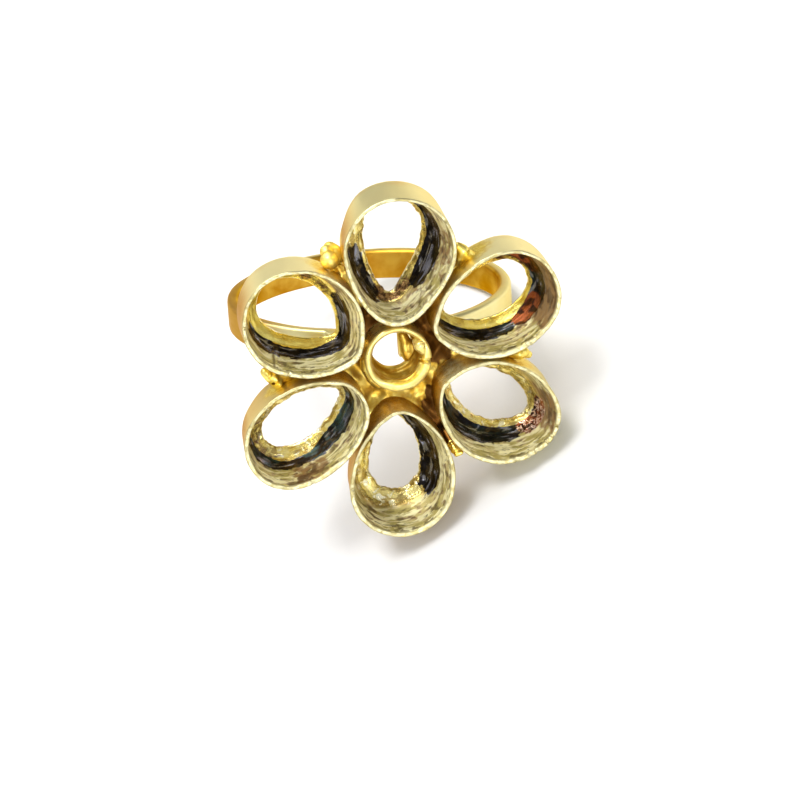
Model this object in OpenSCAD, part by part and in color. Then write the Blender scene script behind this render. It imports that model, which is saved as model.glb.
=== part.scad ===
// Empty flower ring mounting: six open pear cups and one open round cup on a plain band.
// The ring's own frame has its origin at the middle of the flower, level with the cup rims.
// +Z there is the flower's face, +Y runs along the finger hole and +X goes across the finger.
// The last step lays the finished ring on its side, the way it rests on a table.

/* [Pear cups] */
// Height of a pear cup, from its rim to its underside
cup_h = 4.1; // [3.7:0.1:4.3]
// Thickness of the cup wall near the rim
wall_t = 0.34; // [0.26:0.01:0.42]
// Width of the ledge round the hole, on the cup's sides
ledge_w = 1.75; // [1.4:0.05:1.9]
// Width of the ledge at the cup's tip
tip_ledge_w = 1.3; // [1.1:0.05:1.5]
// Tip radius of the hole in the cup's floor
hole_tip_r = 0.45; // [0.3:0.05:0.55]

/* [Round cup] */
// Outer diameter of the round cup in the middle
round_d = 4.4; // [4.2:0.1:4.5]
// Diameter of its seat
round_seat_d = 3.4; // [3.2:0.1:3.5]
// Diameter of the hole through its floor
round_hole_d = 2.8; // [2.6:0.1:3.0]
// How far its rim lies below the rims of the pear cups
round_drop = 0.9; // [0.7:0.1:1.2]
// Thickness of its floor
round_floor_t = 0.7; // [0.5:0.1:0.9]

/* [Band] */
// Inside diameter of the finger hole
finger_d = 17.8; // [17.2:0.1:18.2]
// Width of the band along the finger
band_w = 2.1; // [1.8:0.1:2.4]
// Thickness of the band
band_t = 0.8; // [0.7:0.05:0.9]
// Chamfer on the band's edges
band_edge = 0.15; // [0.05:0.05:0.25]
// Where the band's left end stops, across the finger
band_left_end = -1.75; // [-2.0:0.05:-1.5]
// Where the band's right end stops, across the finger
band_right_end = 0.55; // [0.4:0.05:0.8]

/* [Hidden] */
// Hairline that keeps neighbouring pieces apart
joint = 0.03;
// Points along the outline of a pear cup: round end, each side and tip
ROUND_STEPS = 18;
SIDE_STEPS = 8;
TIP_STEPS = 7;

// The six pear cups, one row each.
// name, x and y of the round end's centre, direction the cup points away from the flower,
// round end's radius, tip radius, distance between the two centres, left and right side radius,
// width of the ledge at the round end
CUPS = [
    ["cup_top", 0.45, 7.60, 83.0, 3.74, 2.15, 2.80, 7.3, 9.8, 1.0],
    ["cup_upper_right", 7.55, 3.77, 21.0, 3.30, 1.35, 4.20, 6.1, 4.9, 1.5],
    ["cup_lower_right", 7.68, -4.47, -28.0, 2.76, 0.80, 4.98, 4.6, 4.4, 1.5],
    ["cup_bottom", -0.38, -8.30, -92.0, 3.54, 1.48, 3.78, 5.2, 6.1, 2.1],
    ["cup_lower_left", -7.52, -4.60, -150.0, 3.12, 2.50, 3.25, 6.3, 5.9, 1.6],
    ["cup_upper_left", -6.54, 3.60, 145.5, 3.62, 1.52, 3.30, 5.8, 4.4, 1.3],
];
NAME = 0;
CX = 1;
CY = 2;
POINTS_TO = 3;
ROUND_R = 4;
TIP_R = 5;
SPAN = 6;
LEFT_R = 7;
RIGHT_R = 8;
ROUND_LEDGE = 9;

// The wall of a pear cup, one row per ring, down the outside, under the floor and up the inside.
// inset from the outer outline, share of the way to the hole's outline, depth below the rim
WALL = [
    [0.05, 0, 0],
    [0, 0, 0.10],
    [0, 0, cup_h - 0.60],
    [0.14, 0, cup_h - 0.18],
    [0.42, 0, cup_h],
    [0, 1, cup_h],
    [0, 1, cup_h - 0.22],
    [0, 0.74, cup_h - 0.52],
    [wall_t, 0.42, cup_h - 0.70],
    [wall_t, 0.25, cup_h - 0.95],
    [wall_t, 0.13, cup_h - 1.45],
    [wall_t, 0.05, cup_h - 2.30],
    [wall_t - 0.02, 0, 0.06],
    [wall_t - 0.10, 0, 0],
];

// Solder beads and granules in the notches between the cups: name, then balls of x, y, z, radius
BEADS = [
    ["granule_pair", [[-3.98, 7.20, -2.2, 0.60], [-3.85, 7.76, -3.0, 0.50]]],
    ["bead_upper_right", [[4.62, 6.58, -1.7, 0.48]]],
    ["bead_left", [[-8.00, -0.36, -1.9, 0.56]]],
    ["bead_right", [[8.05, -0.36, -1.1, 0.44]]],
    ["bead_lower_right", [[3.50, -6.60, -1.2, 0.37]]],
];

finger_r = finger_d / 2;
band_r = finger_r + band_t;
band_y = 0.3;
band_z = -(cup_h + joint + band_r);
pad_reach = 2.1;
pad_depth = 0.95;
round_y = 0.2;
round_lip_r = (round_d - round_seat_d) / 4;

// Turn of the flower in its own plane, then the turn that lays the ring on its side, and the
// shift that puts its lowest points on the floor and the middle of its bounding box over the origin
flower_turn = -30.44;
lay_down = 69.53;
rest_shift = [0.11, -9.457, 11.074];

// Centre of the large arc that runs inside both end circles, on the side sign * y
function side_centre(span, round_r, tip_r, side_r, sign) =
    let (
        a = side_r - round_r,
        b = side_r - tip_r,
        x = (b * b - a * a - span * span) / (2 * span)
    )
    [x, -sign * sqrt(a * a - x * x)];

// Direction in degrees from point p to point q
function heading(p, q) = atan2(q[1] - p[1], q[0] - p[0]);

// Evenly spaced rows of centre x, centre y, radius and angle along one arc, its far end left out
function arc_rows(centre, r, from, to, steps) =
    [for (i = [0 : steps - 1]) [centre[0], centre[1], r, from + (to - from) * i / steps]];

// A pear outline as arc rows, its round end's centre at the origin and its tip towards -x
function pear(round_r, tip_r, span, left_r, right_r) =
    let (
        tip = [-span, 0],
        left = side_centre(span, round_r, tip_r, left_r, 1),
        right = side_centre(span, round_r, tip_r, right_r, -1),
        left_start = heading(left, [0, 0]),
        left_end = heading(left, tip),
        right_start = 360 + heading(right, tip),
        right_end = 360 + heading(right, [0, 0])
    )
    concat(
        arc_rows([0, 0], round_r, right_end - 360, left_start, ROUND_STEPS),
        arc_rows(left, left_r, left_start, left_end, SIDE_STEPS),
        arc_rows(tip, tip_r, left_end, right_start, TIP_STEPS),
        arc_rows(right, right_r, right_start, right_end, SIDE_STEPS)
    );

// The point of an arc row, moved inwards
function arc_point(row, inset) =
    [row[0] + (row[2] - inset) * cos(row[3]), row[1] + (row[2] - inset) * sin(row[3])];

// The hole's side radius: flatter than the wall's, and always long enough to meet both end arcs
function hole_side_r(side_r, round_r, span) =
    max(side_r - 1, 0.6 * (round_r + hole_tip_r + span));

// How far the hole's round end lies further out than the cup's own
function hole_shift(cup) = ledge_w - cup[ROUND_LEDGE];

// Outline of the hole in a cup's floor, its round end's centre at the origin
function hole_pear(cup) =
    let (
        round_r = cup[ROUND_R] - ledge_w,
        span = cup[SPAN] + cup[TIP_R] + hole_shift(cup) - tip_ledge_w - hole_tip_r
    )
    pear(round_r, hole_tip_r, span,
        hole_side_r(cup[LEFT_R], round_r, span), hole_side_r(cup[RIGHT_R], round_r, span));

// One ring of points of a cup's wall
function wall_ring(outer, hole, shift, wall_row) =
    [for (i = [0 : len(outer) - 1])
        let (p = arc_point(outer[i], wall_row[0]), q = arc_point(hole[i], 0) + [shift, 0])
        [each (p + (q - p) * wall_row[1]), -wall_row[2]]];

// Triangles that join every ring to the next, the last one to the first
function ring_faces(rings, count) =
    [for (r = [0 : rings - 1], i = [0 : count - 1])
        let (s = (r + 1) % rings, j = (i + 1) % count)
        each [
            [r * count + i, s * count + j, s * count + i],
            [r * count + i, r * count + j, s * count + j]
        ]];

// Turns the finished ring from its own frame to the way it lies on the floor
module laid_on_side() {
    translate(rest_shift) rotate([lay_down, 0, 0]) rotate(flower_turn) children();
}

// One open pear cup: thin wall, rounded foot and a ledge round its hole, in one closed solid
module pear_cup(cup) {
    outer = pear(cup[ROUND_R], cup[TIP_R], cup[SPAN], cup[LEFT_R], cup[RIGHT_R]);
    hole = hole_pear(cup);
    points = [for (w = WALL) each wall_ring(outer, hole, hole_shift(cup), w)];
    color("khaki") laid_on_side()
        translate([cup[CX], cup[CY], 0]) rotate(cup[POINTS_TO])
            polyhedron(points, ring_faces(len(WALL), len(outer)));
}

// The small round cup: a tube with a thick rounded rim and a seat above its floor
module round_cup() {
    round_h = cup_h - round_drop;
    color("gold") laid_on_side() translate([0, round_y, -cup_h]) difference() {
        union() {
            cylinder(h = round_h - round_lip_r, d = round_d, $fn = 64);
            translate([0, 0, round_h - round_lip_r])
                rotate_extrude($fn = 64) translate([(round_d + round_seat_d) / 4, 0])
                    circle(r = round_lip_r, $fn = 24);
        }
        translate([0, 0, round_floor_t]) cylinder(h = round_h, d = round_seat_d, $fn = 64);
        translate([0, 0, -1]) cylinder(h = round_h, d = round_hole_d, $fn = 64);
    }
}

// Section of the band, from the finger hole outwards, with chamfered edges
module band_section() {
    half = band_w / 2;
    polygon([
        [finger_r, -half + band_edge], [finger_r + band_edge, -half],
        [band_r - band_edge, -half], [band_r, -half + band_edge],
        [band_r, half - band_edge], [band_r - band_edge, half],
        [finger_r + band_edge, half], [finger_r, half - band_edge]
    ]);
}

// Solder pad that fills the wedge between the band's end and the undersides of the cups
module end_pad(x0, x1) {
    translate([x0, -band_w / 2 + band_edge, band_r - pad_depth])
        cube([x1 - x0, band_w - 2 * band_edge, pad_depth]);
}

// The band: a flat hoop, open under the round cup, with both ends padded where they are soldered
module band() {
    color("goldenrod") laid_on_side() translate([0, band_y, band_z]) difference() {
        union() {
            rotate([90, 0, 0]) rotate_extrude($fn = 128) band_section();
            end_pad(band_left_end - pad_reach, band_left_end);
            end_pad(band_right_end, band_right_end + pad_reach);
        }
        rotate([90, 0, 0]) cylinder(h = 2 * band_w, r = finger_r, center = true, $fn = 128);
        translate([band_left_end, -band_w, finger_r / 2])
            cube([band_right_end - band_left_end, 2 * band_w, finger_r]);
    }
}

// Granules or solder beads that sit in one notch, melted into one solid
module notch_beads(balls) {
    color("gold") laid_on_side() for (b = balls)
        translate([b[0], b[1], b[2]]) sphere(r = b[3], $fn = 32);
}

band();
round_cup();
for (c = CUPS) pear_cup(c);
for (b = BEADS) notch_beads(b[1]);
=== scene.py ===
"""Dresses an empty flower ring mounting: cup walls, ledges, solder, band and metal finishes.

Shapes are worked out in millimetres in the ring's own frame: origin at the middle of the flower,
level with the cup rims, +Z out of its face and +Y along the finger hole. to_world() then lays
them on their side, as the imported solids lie. Directions are in degrees from +X towards +Y.
"""
from collections import namedtuple

import bpy
import numpy as np
from mathutils import Matrix, Vector, noise


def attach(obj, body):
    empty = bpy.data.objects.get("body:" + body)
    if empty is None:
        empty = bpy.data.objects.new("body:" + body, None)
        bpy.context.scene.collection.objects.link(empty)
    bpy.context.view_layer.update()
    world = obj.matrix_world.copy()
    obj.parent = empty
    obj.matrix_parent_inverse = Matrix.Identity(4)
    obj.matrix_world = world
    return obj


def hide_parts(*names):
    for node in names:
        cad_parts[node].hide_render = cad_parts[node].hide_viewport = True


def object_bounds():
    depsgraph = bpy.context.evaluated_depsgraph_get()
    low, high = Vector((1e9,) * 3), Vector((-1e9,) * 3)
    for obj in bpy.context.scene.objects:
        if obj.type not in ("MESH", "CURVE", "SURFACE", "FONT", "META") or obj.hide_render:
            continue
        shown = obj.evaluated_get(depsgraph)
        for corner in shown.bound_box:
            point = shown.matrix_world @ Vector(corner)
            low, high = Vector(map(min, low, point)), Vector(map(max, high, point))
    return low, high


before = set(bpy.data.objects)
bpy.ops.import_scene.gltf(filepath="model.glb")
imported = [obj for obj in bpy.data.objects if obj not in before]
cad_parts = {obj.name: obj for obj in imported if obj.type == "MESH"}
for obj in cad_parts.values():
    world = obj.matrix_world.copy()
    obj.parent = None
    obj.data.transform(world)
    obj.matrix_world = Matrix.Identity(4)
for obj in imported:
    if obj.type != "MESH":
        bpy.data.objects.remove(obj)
cad_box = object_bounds()

# Metres in a millimetre
MM = 0.001

# Sizes of the ring, in millimetres
JOINT = 0.03
CUP_H = 4.1
WALL_T = 0.34
LEDGE_W = 1.75
TIP_LEDGE_W = 1.3
HOLE_TIP_R = 0.45
ROUND_CENTRE_Y = 0.2
ROUND_R = 2.2
ROUND_SEAT_R = 1.7
ROUND_HOLE_R = 1.4
ROUND_DROP = 0.9
ROUND_FLOOR_T = 0.7
ROUND_BEAD = 0.2
FINGER_R = 8.9
BAND_T = 0.8
BAND_W = 2.1
BAND_Y = 0.3
BAND_CORNER = 0.24
BAND_Z = -(CUP_H + JOINT + FINGER_R + BAND_T)
BAND_LEFT_END = -1.75
BAND_RIGHT_END = 0.55
PAD_REACH = 2.1
# A hole's side radius: how much less than the wall's, and its least share of the hole's length
HOLE_SIDES_LESS = 1
HOLE_SIDES_LEAST = 0.6
# Thickness of the round cup's rim, and lobes where it is thicker and where it is lower or higher
ROUND_THICK = 0.36
ROUND_THICKER = [(-60, 95, 0.46), (200, 50, 0.05)]
ROUND_RAISED = [(-9, 5, -0.45), (-50, 70, 0.08)]

# The solder web, in millimetres: its grid, how far it reaches from a wall and from the middle,
# height of its top and its underside above the cups' feet, and least thickness. Then rounds of
# smoothing it and its border and of trimming the border, and the place and shape of a crack that
# is painted on it in brown shade
WEB_STEP = 0.1
WEB_REACH = 2.2
WEB_EDGE = 7.4
WEB_TOP = 0.42
WEB_UNDER = 0.26
WEB_THINNEST = 0.1
WEB_SOFTENING = 12
BORDER_SOFTENING = 12
BORDER_TRIMS = 4
CRACK_AT = (2.25, -3.1)
CRACK_STRETCH = (1.6, 0.8)

# How the finished ring lies: turn of the flower in its own plane, tilt onto its side, shift
FLOWER_TURN = -30.44
LAY_DOWN = 69.53
REST_SHIFT = (0.11, -9.457, 11.074)

# The camera, as seen from the flower: tilts in degrees, distance and offsets in millimetres, its
# scale at the flower, and the widths of the picture in pixels and of the sensor in millimetres
CAMERA_TILTS = {"Z": 3.63, "Y": 8.72, "X": 18.02}
CAMERA_DISTANCE = 250.0
CAMERA_OFFSET = (0.25, 1.96)
PIXELS_PER_MM = 15.39
FRAME_PIXELS = 794
SENSOR = 36.0
# Nearest that the camera sees and half the floor's side, in metres
CLIP_START = 0.01
FLOOR_HALF = 0.6

# Pear cups: centre of the round end and direction it points to, radii of the round end and the
# tip, distance between their centres, radii of the left and right side, and the width of the
# ledge at the round end
Cup = namedtuple("Cup", "x y points_to round_r tip_r span left_r right_r round_ledge")
CUPS = {
    "cup_top": Cup(0.45, 7.6, 83.0, 3.74, 2.15, 2.8, 7.3, 9.8, 1.0),
    "cup_upper_right": Cup(7.55, 3.77, 21.0, 3.3, 1.35, 4.2, 6.1, 4.9, 1.5),
    "cup_lower_right": Cup(7.68, -4.47, -28.0, 2.76, 0.8, 4.98, 4.6, 4.4, 1.5),
    "cup_bottom": Cup(-0.38, -8.3, -92.0, 3.54, 1.48, 3.78, 5.2, 6.1, 2.1),
    "cup_lower_left": Cup(-7.52, -4.6, -150.0, 3.12, 2.5, 3.25, 6.3, 5.9, 1.6),
    "cup_upper_left": Cup(-6.54, 3.6, 145.5, 3.62, 1.52, 3.3, 5.8, 4.4, 1.3),
}

# How each cup was marked by the torch, the solder and the file, and where light and shade are
# painted on it. Black, copper, brown, smoke and gilt are lobes: rows of (direction, half width,
# strength). tuck rows are (direction, half width, millimetres that the foot draws in). gold is
# the share of the ledge, from the wall to the hole, where the black gives way to gold, and
# gold_right what is added to it on the right. orange is how much a painted warm reflection tints
# the outer wall, pale how much painted light lightens its upper side and shaded how dark painted
# shade makes it near the middle of the flower. blue is the tint of the black and ragged how torn
# the ledge is. nicks in the rim and a seam inside are directions
PLAIN_LOOK = dict(copper=[], tuck=[], gold_right=0.0, orange=0.0, shaded=1.0, gilt=[], blue=0.0,
                  seam=[])
CUP_LOOKS = {
    "cup_top": dict(
        black=[(5, 95, 1.1), (205, 60, 1.0)], brown=[(262, 60, 1.0)],
        smoke=[(-30, 60, 0.5), (12, 30, 0.62)], gold=0.84, ragged=0.7,
        tuck=[(180, 80, 0.27), (85, 60, -0.3)], pale=0.3, nicks=[40, 228]),
    "cup_upper_right": dict(
        black=[(243, 85, 1.0), (20, 85, 1.1)], copper=[(-36, 36, 1.0), (36, 30, 0.9)],
        brown=[(50, 50, 1.0)], smoke=[(5, 65, 1.0)], gold=0.6, gold_right=0.25, blue=0.2,
        ragged=0.35, tuck=[(95, 60, -0.15)], pale=0.5, nicks=[222, 300]),
    "cup_lower_right": dict(
        black=[(235, 92, 1.0)], copper=[(-34, 46, 1.0)], brown=[(-20, 50, 0.5)],
        smoke=[(-5, 45, 0.8)], gold=0.76, blue=0.2, ragged=0.7, pale=0.3,
        nicks=[276, 292, 301, 316, 325, 338], shaded=0.65, gilt=[(208, 45, 0.85)]),
    "cup_bottom": dict(
        black=[(12, 88, 1.2)], brown=[(180, 60, 0.5)], smoke=[(-20, 50, 0.4)], gold=0.95,
        ragged=0.8, tuck=[(180, 90, 0.38)], orange=0.6, pale=0.0, nicks=[194], shaded=0.8,
        gilt=[(60, 25, 0.6)]),
    "cup_lower_left": dict(
        black=[(-62, 150, 1.0)], copper=[(205, 35, 0.35)], brown=[(205, 60, 0.7)],
        smoke=[(-75, 40, 0.7)], gold=0.48, gold_right=0.3, blue=0.7, ragged=0.8,
        tuck=[(190, 70, 0.28)], orange=0.5, pale=0.25, nicks=[281]),
    "cup_upper_left": dict(
        black=[(283, 148, 1.0)], brown=[(60, 50, 0.8)], smoke=[(50, 35, 0.6)], gold=0.54,
        gold_right=0.35, ragged=0.1, pale=0.55, nicks=[170, 250], seam=[229]),
}
# The inner walls lean in most on this side
LEAN_IN = (-30, 130, 0.45)
# What all the cups share: the wall's thin side, the side of the outer wall painted light and the
# side painted with a warm reflection, the ledge's right side, half widths of a nick and of the
# seam, how far solder gilds a wall in millimetres, and seeds from one cup to the next
THIN_SIDE = (95, 110, 0.12)
PALE_SIDE = (112, 85)
WARM_SIDE = (195, 70)
RIGHT_SIDE = (10, 80)
NICK_HALF_WIDTH = 1.6
SEAM_HALF_WIDTH = 2.2
GILT_REACH = 1.7
SEEDS_PER_CUP = 10

# Waves and bumps that melting and hand work leave: size across and height in millimetres, how
# closely they follow the depth, and a seed of their own. Height 1 is plain noise, scaled where used
Wear = namedtuple("Wear", "size height upright seed")
WEAR = {
    "bend": Wear(2.6, 0.06, 0.6, 0),
    "fine": Wear(0.5, 1, 1, 1),
    "filing": Wear(1.2, 0.06, 0, 2),
    "chips": Wear(0.28, 1, 0, 3),
    "lumps": Wear(0.8, 0.09, 1, 4),
    "tears": Wear(0.75, 0.15, 0.3, 5),
    "burr": Wear(0.45, 1, 0, 6),
    "thin": Wear(0.8, 0.05, 0, 7),
    "file_marks": Wear(0.3, 0.04, 0, 8),
    "crumbs": Wear(0.22, 1, 0.4, 9),
    "kinks": Wear(0.9, 0.03, 0, 10),
    "step": Wear(1.6, 0.3, 0, 11),
    "band_bend": Wear(3.0, 0.03, 1, 40),
    "round_height": Wear(0.9, 0.05, 1, 50),
    "round_across": Wear(0.8, 0.035, 1, 52),
    "round_along": Wear(0.8, 0.035, 1, 53),
    "web_lumps": Wear(0.9, 0.14, 1, 60),
    "web_grain": Wear(0.35, 0.04, 1, 61),
    "web_under": Wear(0.7, 0.06, 1, 62),
    "blob_dents": Wear(0.7, 0.025, 1, 0),
    "blob_grain": Wear(0.25, 0.005, 1, 1),
}

# Steps along a cup's outline: round end, each side and tip. Then the round cup's columns, parts
# of each step of its section, the band's rings and the points in each corner of its section
ROUND_STEPS = 140
SIDE_STEPS = 62
TIP_STEPS = 56
ROUND_COLUMNS = 200
ROUND_ROW_PARTS = 3
BAND_RINGS = 420
BAND_CORNER_POINTS = 5

# Section of a cup's wall, down the outside, under the floor and up the inside: inset from the
# outline, share of the way to the hole, depth, steps to the next row, and how much of the row
# is ledge, lip, inner wall and open to torch scale
WallRow = namedtuple("WallRow", "inset share depth steps ledge lip inside scale")
WALL = [WallRow(*row) for row in (
    (0.03, 0, 0, 2, 0, 0, 0, 0),
    (0, 0, 0.05, 20, 0, 0, 0, 0),
    (0, 0, CUP_H - 0.6, 5, 0, 0, 0, 0),
    (0.14, 0, CUP_H - 0.18, 4, 0, 0, 0, 0),
    (0.42, 0, CUP_H, 7, 0, 0, 0, 0),
    (0, 1, CUP_H, 4, 0, 1, 0, 0),
    (0, 1, CUP_H - 0.22, 9, 0.6, 1, 0, 1),
    (0, 0.74, CUP_H - 0.52, 8, 1, 0.2, 0, 1),
    (WALL_T, 0.42, CUP_H - 0.7, 7, 1, 0, 0, 1),
    (WALL_T, 0.25, CUP_H - 0.95, 6, 0.6, 0, 0.4, 1),
    (WALL_T, 0.13, CUP_H - 1.45, 9, 0.1, 0, 1, 0.85),
    (WALL_T, 0.05, CUP_H - 2.3, 14, 0, 0, 1, 0.15),
    (WALL_T - 0.03, 0, 0.04, 3, 0, 0, 1, 0),
    (WALL_T - 0.08, 0, 0, 4, 0, 0, 0.5, 0),
)]
# Depth down to which the rim stays sharp, and rounds of smoothing below it
RIM_ZONE = 0.1
WALL_SOFTENING = 2


def axis_turn(axis, degrees):
    return Matrix.Rotation(np.radians(degrees), 4, axis)


REST = (Matrix.Translation(Vector(REST_SHIFT) * MM) @ axis_turn("X", LAY_DOWN)
        @ axis_turn("Z", FLOWER_TURN) @ Matrix.Scale(MM, 4))


def to_world(points):
    """Ring frame in millimetres to the row's frame in metres, kept within the solids' box."""
    turned = np.asarray(points) @ np.array(REST.to_3x3()).T + np.array(REST.translation)
    return np.clip(turned, cad_box[0], cad_box[1])


def wear_at(kind, points, seed=0):
    """One kind of wear at each point: smooth noise of the size and height in its row."""
    wear = WEAR[kind]
    number = seed + wear.seed
    shift = Vector((number * 7.3, number * 3.1, number * 5.7))
    spots = points * (1, 1, wear.upright)
    return np.array([noise.noise(Vector(p) / wear.size + shift) for p in spots]) * wear.height


def on_circle(angles):
    """Flat points on a circle of radius 1."""
    return np.column_stack((np.cos(angles), np.sin(angles)))


def smooth_step(low, high, value):
    t = np.clip((value - low) / (high - low), 0, 1)
    return t * t * (3 - 2 * t)


def fall_off(low, high, value):
    return 1 - smooth_step(low, high, value)


# Pieces


def add_object(name, data):
    thing = bpy.data.objects.new(name, data)
    bpy.context.collection.objects.link(thing)
    return thing


def add_piece(name, points, faces, material, slot, nodes=(), **fields):
    """Makes one mesh piece from ring-frame points and puts it on the ring.

    Each field is a value, a value per point or a vector per point, for the material to read.
    """
    mesh = bpy.data.meshes.new(name)
    mesh.from_pydata(to_world(points).tolist(), [], faces)
    mesh.update()
    mesh.polygons.foreach_set("use_smooth", [True] * len(mesh.polygons))
    place = mesh.attributes.new("ring_mm", "FLOAT_VECTOR", "POINT")
    place.data.foreach_set("vector", np.asarray(points, dtype=np.float32).ravel())
    for field, values in fields.items():
        values = np.asarray(values, dtype=np.float32)
        kind, key = ("FLOAT_VECTOR", "vector") if values.ndim == 2 else ("FLOAT", "value")
        if values.ndim == 0:
            values = np.full(len(points), values)
        layer = mesh.attributes.new(field, kind, "POINT")
        layer.data.foreach_set(key, values.ravel())
    mesh.materials.append(material)
    piece = add_object(name, mesh)
    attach(piece, "root")
    if nodes:
        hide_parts(*nodes)


def ring_faces(rings, count, closed=True):
    """Quads between rings of points, round every ring and, if closed, from last to first."""
    faces = []
    for r in range(rings if closed else rings - 1):
        s = (r + 1) % rings
        for i in range(count):
            j = (i + 1) % count
            faces.append((r * count + i, r * count + j, s * count + j, s * count + i))
    return faces


# Pear cups


def side_centre(span, round_r, tip_r, side_r, sign):
    """Centre of the large arc that runs inside both end circles, on the side sign * y."""
    a = side_r - round_r
    b = side_r - tip_r
    x = (b * b - a * a - span * span) / (2 * span)
    return np.array((x, -sign * np.sqrt(a * a - x * x)))


def heading(p, q):
    return np.arctan2(q[1] - p[1], q[0] - p[0])


def arc_rows(centre, radius, start, end, steps):
    angles = start + (end - start) * np.arange(steps) / steps
    return [(centre[0], centre[1], radius, angle) for angle in angles]


def pear(round_r, tip_r, span, left_r, right_r):
    """A pear outline as rows of arc centre, radius and angle, its tip towards -x."""
    middle = np.zeros(2)
    tip = np.array((-span, 0.0))
    left = side_centre(span, round_r, tip_r, left_r, 1)
    right = side_centre(span, round_r, tip_r, right_r, -1)
    left_start = heading(left, middle)
    left_end = heading(left, tip)
    right_start = 2 * np.pi + heading(right, tip)
    right_end = 2 * np.pi + heading(right, middle)
    return np.array(
        arc_rows(middle, round_r, right_end - 2 * np.pi, left_start, ROUND_STEPS)
        + arc_rows(left, left_r, left_start, left_end, SIDE_STEPS)
        + arc_rows(tip, tip_r, left_end, right_start, TIP_STEPS)
        + arc_rows(right, right_r, right_start, right_end, SIDE_STEPS))


def arc_points(rows, inset):
    return rows[:, :2] + on_circle(rows[:, 3]) * (rows[:, 2:3] - inset)


def cup_rows(cup):
    """Outer outline of a cup as arc rows, its round end's centre at the origin."""
    return pear(cup.round_r, cup.tip_r, cup.span, cup.left_r, cup.right_r)


def hole_points(cup):
    """Outline of the hole in a cup's floor, as points in the cup's frame."""
    shift = LEDGE_W - cup.round_ledge
    round_r = cup.round_r - LEDGE_W
    length = cup.span + cup.tip_r + shift - TIP_LEDGE_W - HOLE_TIP_R
    least = HOLE_SIDES_LEAST * (round_r + HOLE_TIP_R + length)
    sides = [max(side - HOLE_SIDES_LESS, least) for side in (cup.left_r, cup.right_r)]
    return arc_points(pear(round_r, HOLE_TIP_R, length, *sides), 0) + np.array((shift, 0))


def flat_turn(degrees):
    """Matrix that turns rows of flat points."""
    turn = np.radians(degrees)
    return np.array(((np.cos(turn), np.sin(turn)), (-np.sin(turn), np.cos(turn))))


def dense_wall():
    """The wall's section with its steps filled in, one row per ring of points."""
    rows = []
    for here, there in zip(WALL, WALL[1:] + WALL[:1]):
        a = np.array(here[:3] + here[4:], dtype=float)
        b = np.array(there[:3] + there[4:], dtype=float)
        rows += [a + (b - a) * k / here.steps for k in range(here.steps)]
    rows = np.array(rows)
    for _ in range(WALL_SOFTENING):
        soft = (np.roll(rows, 1, 0) + 2 * rows + np.roll(rows, -1, 0)) / 4
        rows = np.where(rows[:, 2:3] < RIM_ZONE, rows, soft)
    return rows


def facing(angle, towards, half_width):
    """1 where an angle in degrees faces `towards`, falling to 0 beyond half_width."""
    off = np.abs((angle - towards + 180) % 360 - 180)
    return fall_off(half_width * 0.4, half_width, off)


def lobes_at(angle, lobes, merge=np.maximum):
    """How strong lobes are at each angle, from rows of direction, half width and strength."""
    total = np.zeros(len(angle))
    for towards, half_width, strength in lobes:
        total = merge(total, strength * facing(angle, towards, half_width))
    return total


def wear_wall(points, out, angle, section, look, seed):
    """Bends a cup's wall, draws its foot in or out, thins one side, files and nicks the rim."""
    share, depth, ledge, inside = section
    low = depth / CUP_H
    flat = points * (1, 1, 0)
    bend = wear_at("bend", points, seed) - 0.04
    kinks = wear_at("kinks", flat, seed) * fall_off(0.0, 0.4, low)
    points[:, :2] += out * ((bend + kinks) * (1 - share))[:, None]
    foot = low * (1 - share) * (1 - inside) * (1 - ledge)
    points[:, :2] -= out * (lobes_at(angle, look["tuck"], np.add) * foot)[:, None]
    thin = lobes_at(angle, [THIN_SIDE]) + wear_at("thin", flat, seed)
    points[:, :2] += out * (thin * inside * fall_off(0.2, 0.5, low))[:, None]
    nicks = lobes_at(angle, [(towards, NICK_HALF_WIDTH, 1) for towards in look["nicks"]], np.add)
    filed = 0.05 + wear_at("filing", flat, seed) + wear_at("file_marks", flat, seed)
    chips = np.clip(wear_at("chips", flat, seed) - 0.3, 0, 1)
    rim_cut = filed + 0.14 * chips + 0.16 * nicks
    points[:, 2] -= rim_cut * fall_off(0.0, 0.3, low)


def wear_ledge(points, smooth, out, angle, section, look, seed):
    """Leaves the ledge lumpy and torn, and a step and seam inside; `smooth` is before all wear."""
    share, depth, ledge, inside = section
    flat = smooth * (1, 1, 0)
    ragged = 0.15 + 0.85 * look["ragged"]
    above_foot = depth < CUP_H - 0.1
    hole_edge = smooth_step(0.8, 1.0, share)
    fine = wear_at("fine", smooth, seed)
    crumbs = wear_at("crumbs", smooth, seed)
    lumps = (wear_at("lumps", points, seed) + fine * 0.05 + crumbs * 0.012) * ragged
    points[:, 2] += lumps * ledge * above_foot
    torn = (wear_at("tears", points, seed) + crumbs * 0.07) * ragged - 0.06
    points[:, :2] += out * (torn * hole_edge)[:, None]
    burr = np.clip(wear_at("burr", flat, seed), 0, 1) * 0.2 + 0.03 * crumbs
    points[:, 2] += burr * ragged * hole_edge * above_foot
    step = 0.05 * smooth_step(0.75, 0.95, depth + wear_at("step", flat, seed))
    joined = lobes_at(angle, [(towards + 2.5, 5.0, 0.05) for towards in look["seam"]])
    points[:, :2] += out * ((fine * 0.02 - step - joined) * inside)[:, None]


def near_solder(points):
    """1 beside the solder in the notches, falling to 0 about two millimetres away from it."""
    balls = np.array([ball for strokes in BLOBS.values() for stroke in strokes for ball in stroke])
    gaps = [np.linalg.norm(points - ball[:3], axis=1) - ball[3] for ball in balls]
    return fall_off(0.0, GILT_REACH, np.min(gaps, axis=0))


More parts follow.
